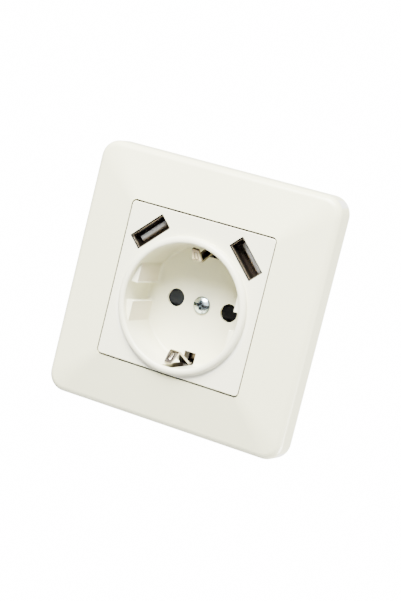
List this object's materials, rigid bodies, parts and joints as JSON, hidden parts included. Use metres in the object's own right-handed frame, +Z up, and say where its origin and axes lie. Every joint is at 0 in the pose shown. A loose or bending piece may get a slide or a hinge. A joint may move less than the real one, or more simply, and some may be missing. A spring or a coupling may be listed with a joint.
{
  "type": "usb wall socket",
  "caption": "Flush wall socket with a round earthed plug well, shuttered pin holes and slanted charging ports, in a bevelled cover frame with a screw-fixed insert behind it.",
  "frame": {"origin": "middle of the cover frame, on the wall plane that its back rim and the support ring rest on", "axes": "+X right and +Z up as seen from the room, +Y into the wall, so the front faces -Y"},
  "size_m": [0.084, 0.0441, 0.084],
  "materials": {
    "ivory_plastic": "glossy",
    "grey_plastic": "matte",
    "black_plastic": "matte",
    "pale_plastic": "matte",
    "nickel_strip": "satin",
    "zinc_steel": "satin",
    "ring_steel": "satin",
    "shell_steel": "satin",
    "spring_steel": "satin",
    "brass_sheet": "satin",
    "gilt_strip": "satin",
    "copper_wire": "satin",
    "board_laminate": "satin",
    "ferrite": "matte",
    "capacitor_sleeve": "satin"
  },
  "bodies": {
    "socket": {"cover_frame": "ivory_plastic", "centre_plate": "ivory_plastic", "centre_screw": "zinc_steel", "shutter_spring": "spring_steel", "earth_strap": "nickel_strip", "line_contact": "brass_sheet", "neutral_contact": "brass_sheet", "clamp_washers": "zinc_steel", "terminal_screws": "zinc_steel", "support_ring": "ring_steel", "ring_screws": "zinc_steel", "socket_base": "grey_plastic", "rear_cover": "grey_plastic", "cover_screws": "zinc_steel", "usb_shell_left": "shell_steel", "usb_shell_right": "shell_steel", "usb_tongue_left": "pale_plastic", "usb_tongue_right": "pale_plastic", "usb_contacts_left": "gilt_strip", "usb_contacts_right": "gilt_strip", "charger_board": "board_laminate", "transformer_core": "ferrite", "transformer_winding": "copper_wire", "input_capacitor": "capacitor_sleeve", "output_capacitor": "capacitor_sleeve", "claw_screws": "zinc_steel"},
    "shutter": {"shutter": "black_plastic"},
    "claw_left": {"claw_left": "zinc_steel"},
    "claw_right": {"claw_right": "zinc_steel"}
  },
  "joints": [
    {"name": "shutter_slide", "type": "slide", "parent": "socket", "child": "shutter", "axis": [0, 0, 1], "range_m": [0, 0.0062], "stiffness_N_per_m": 100, "springref_m": -0.003, "deforming": ["shutter_spring"]},
    {"name": "claw_left_hinge", "type": "hinge", "parent": "socket", "child": "claw_left", "pos_m": [-0.0242, 0.0143, 0], "axis": [0, 0, -1], "range_deg": [0, 20]},
    {"name": "claw_right_hinge", "type": "hinge", "parent": "socket", "child": "claw_right", "pos_m": [0.0242, 0.0143, 0], "axis": [0, 0, 1], "range_deg": [0, 20]}
  ]
}
